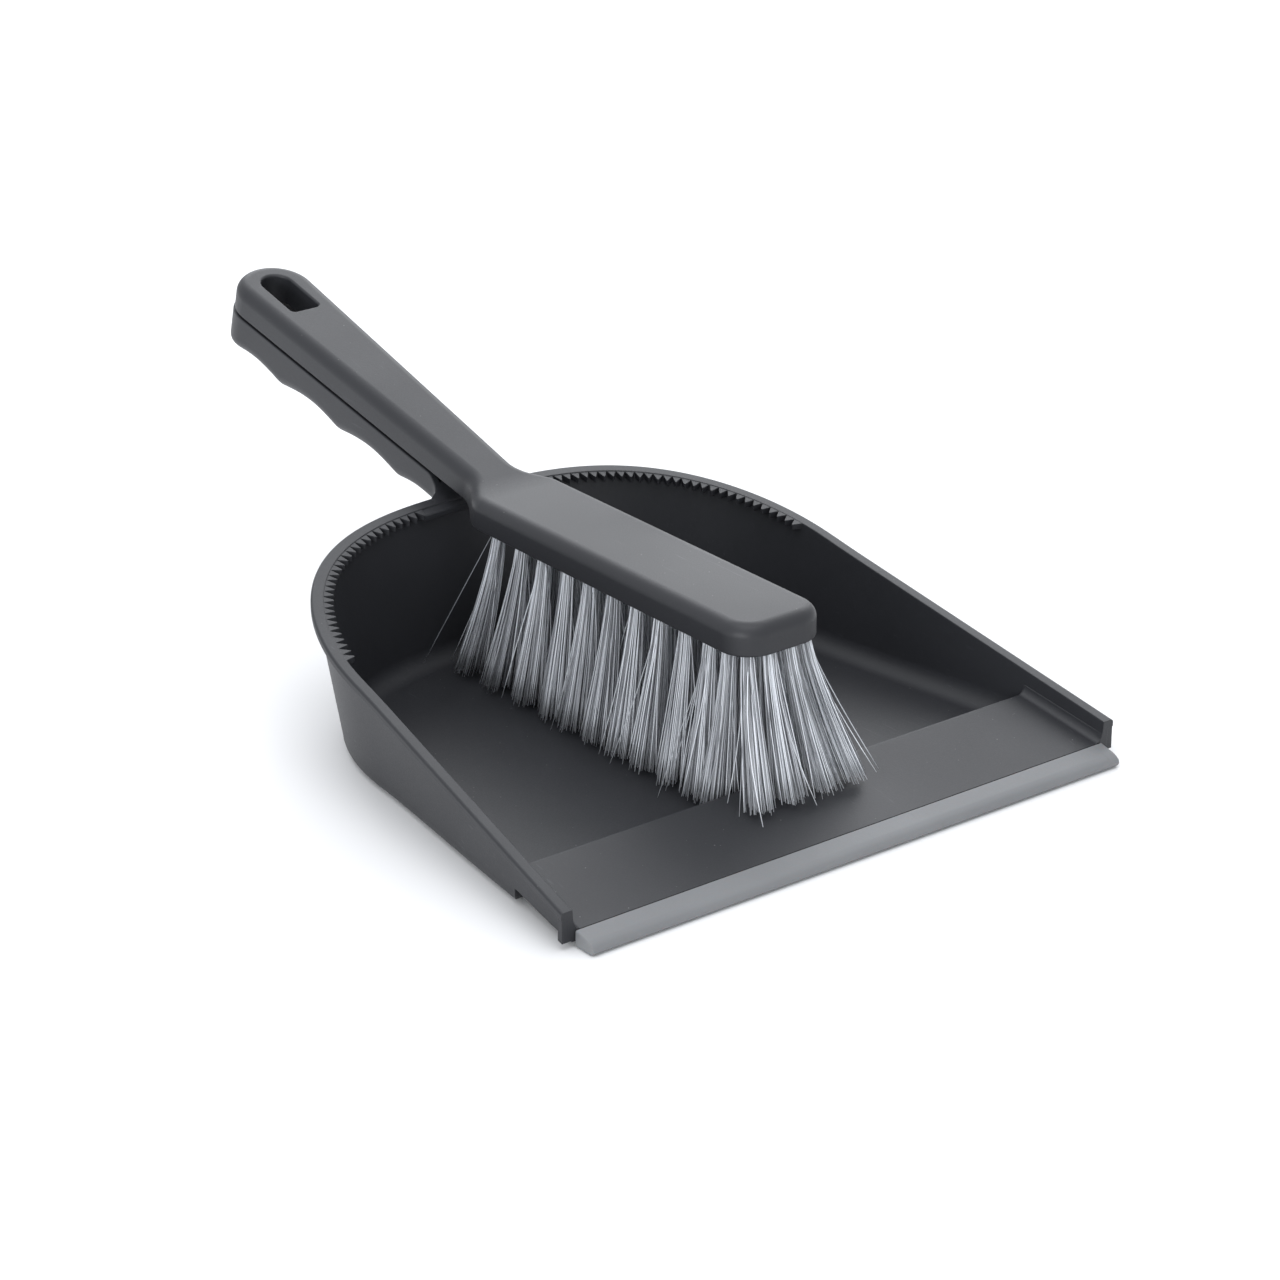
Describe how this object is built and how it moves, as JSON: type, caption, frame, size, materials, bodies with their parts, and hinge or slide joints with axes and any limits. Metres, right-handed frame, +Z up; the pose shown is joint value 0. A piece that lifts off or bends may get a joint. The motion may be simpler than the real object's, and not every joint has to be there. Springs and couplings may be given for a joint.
{
  "type": "dustpan and brush set",
  "caption": "Dustpan with a ramped rubber front lip and a toothed rear rim, with a hand brush resting in it whose handle lies along the pan's handle.",
  "frame": {"origin": "bottom centre of the bounding box, on the floor under the tray", "axes": "+X across the pan, +Y from the front lip back to the end of the handles, +Z up from the floor"},
  "size_m": [0.2112, 0.322, 0.097],
  "materials": {
    "plastic": "charcoal grey polypropylene, fine satin grain",
    "lip_rubber": "mid grey matte soft rubber",
    "bristle": "silver grey drawn filament, slightly translucent"
  },
  "bodies": {
    "dustpan": {"pan": "plastic", "lip_strip": "lip_rubber"},
    "brush": {"brush_body": "plastic", "tuft_left_corner": "bristle", "tuft_left_front": "bristle", "tuft_left_inner_01": "bristle", "tuft_left_inner_02": "bristle", "tuft_left_inner_03": "bristle", "tuft_left_inner_04": "bristle", "tuft_left_inner_05": "bristle", "tuft_left_inner_06": "bristle", "tuft_left_inner_07": "bristle", "tuft_left_inner_08": "bristle", "tuft_left_inner_09": "bristle", "tuft_left_inner_10": "bristle", "tuft_left_outer_01": "bristle", "tuft_left_outer_02": "bristle", "tuft_left_outer_03": "bristle", "tuft_left_outer_04": "bristle", "tuft_left_outer_05": "bristle", "tuft_left_outer_06": "bristle", "tuft_left_outer_07": "bristle", "tuft_left_outer_08": "bristle", "tuft_left_outer_09": "bristle", "tuft_left_outer_10": "bristle", "tuft_left_outer_11": "bristle", "tuft_right_corner": "bristle", "tuft_right_front": "bristle", "tuft_right_inner_01": "bristle", "tuft_right_inner_02": "bristle", "tuft_right_inner_03": "bristle", "tuft_right_inner_04": "bristle", "tuft_right_inner_05": "bristle", "tuft_right_inner_06": "bristle", "tuft_right_inner_07": "bristle", "tuft_right_inner_08": "bristle", "tuft_right_inner_09": "bristle", "tuft_right_inner_10": "bristle", "tuft_right_outer_01": "bristle", "tuft_right_outer_02": "bristle", "tuft_right_outer_03": "bristle", "tuft_right_outer_04": "bristle", "tuft_right_outer_05": "bristle", "tuft_right_outer_06": "bristle", "tuft_right_outer_07": "bristle", "tuft_right_outer_08": "bristle", "tuft_right_outer_09": "bristle", "tuft_right_outer_10": "bristle", "tuft_right_outer_11": "bristle"}
  },
  "joints": [
    {"name": "brush_lift", "type": "slide", "parent": "dustpan", "child": "brush", "axis": [0, 0, 1], "range_m": [0, 0.12]}
  ]
}
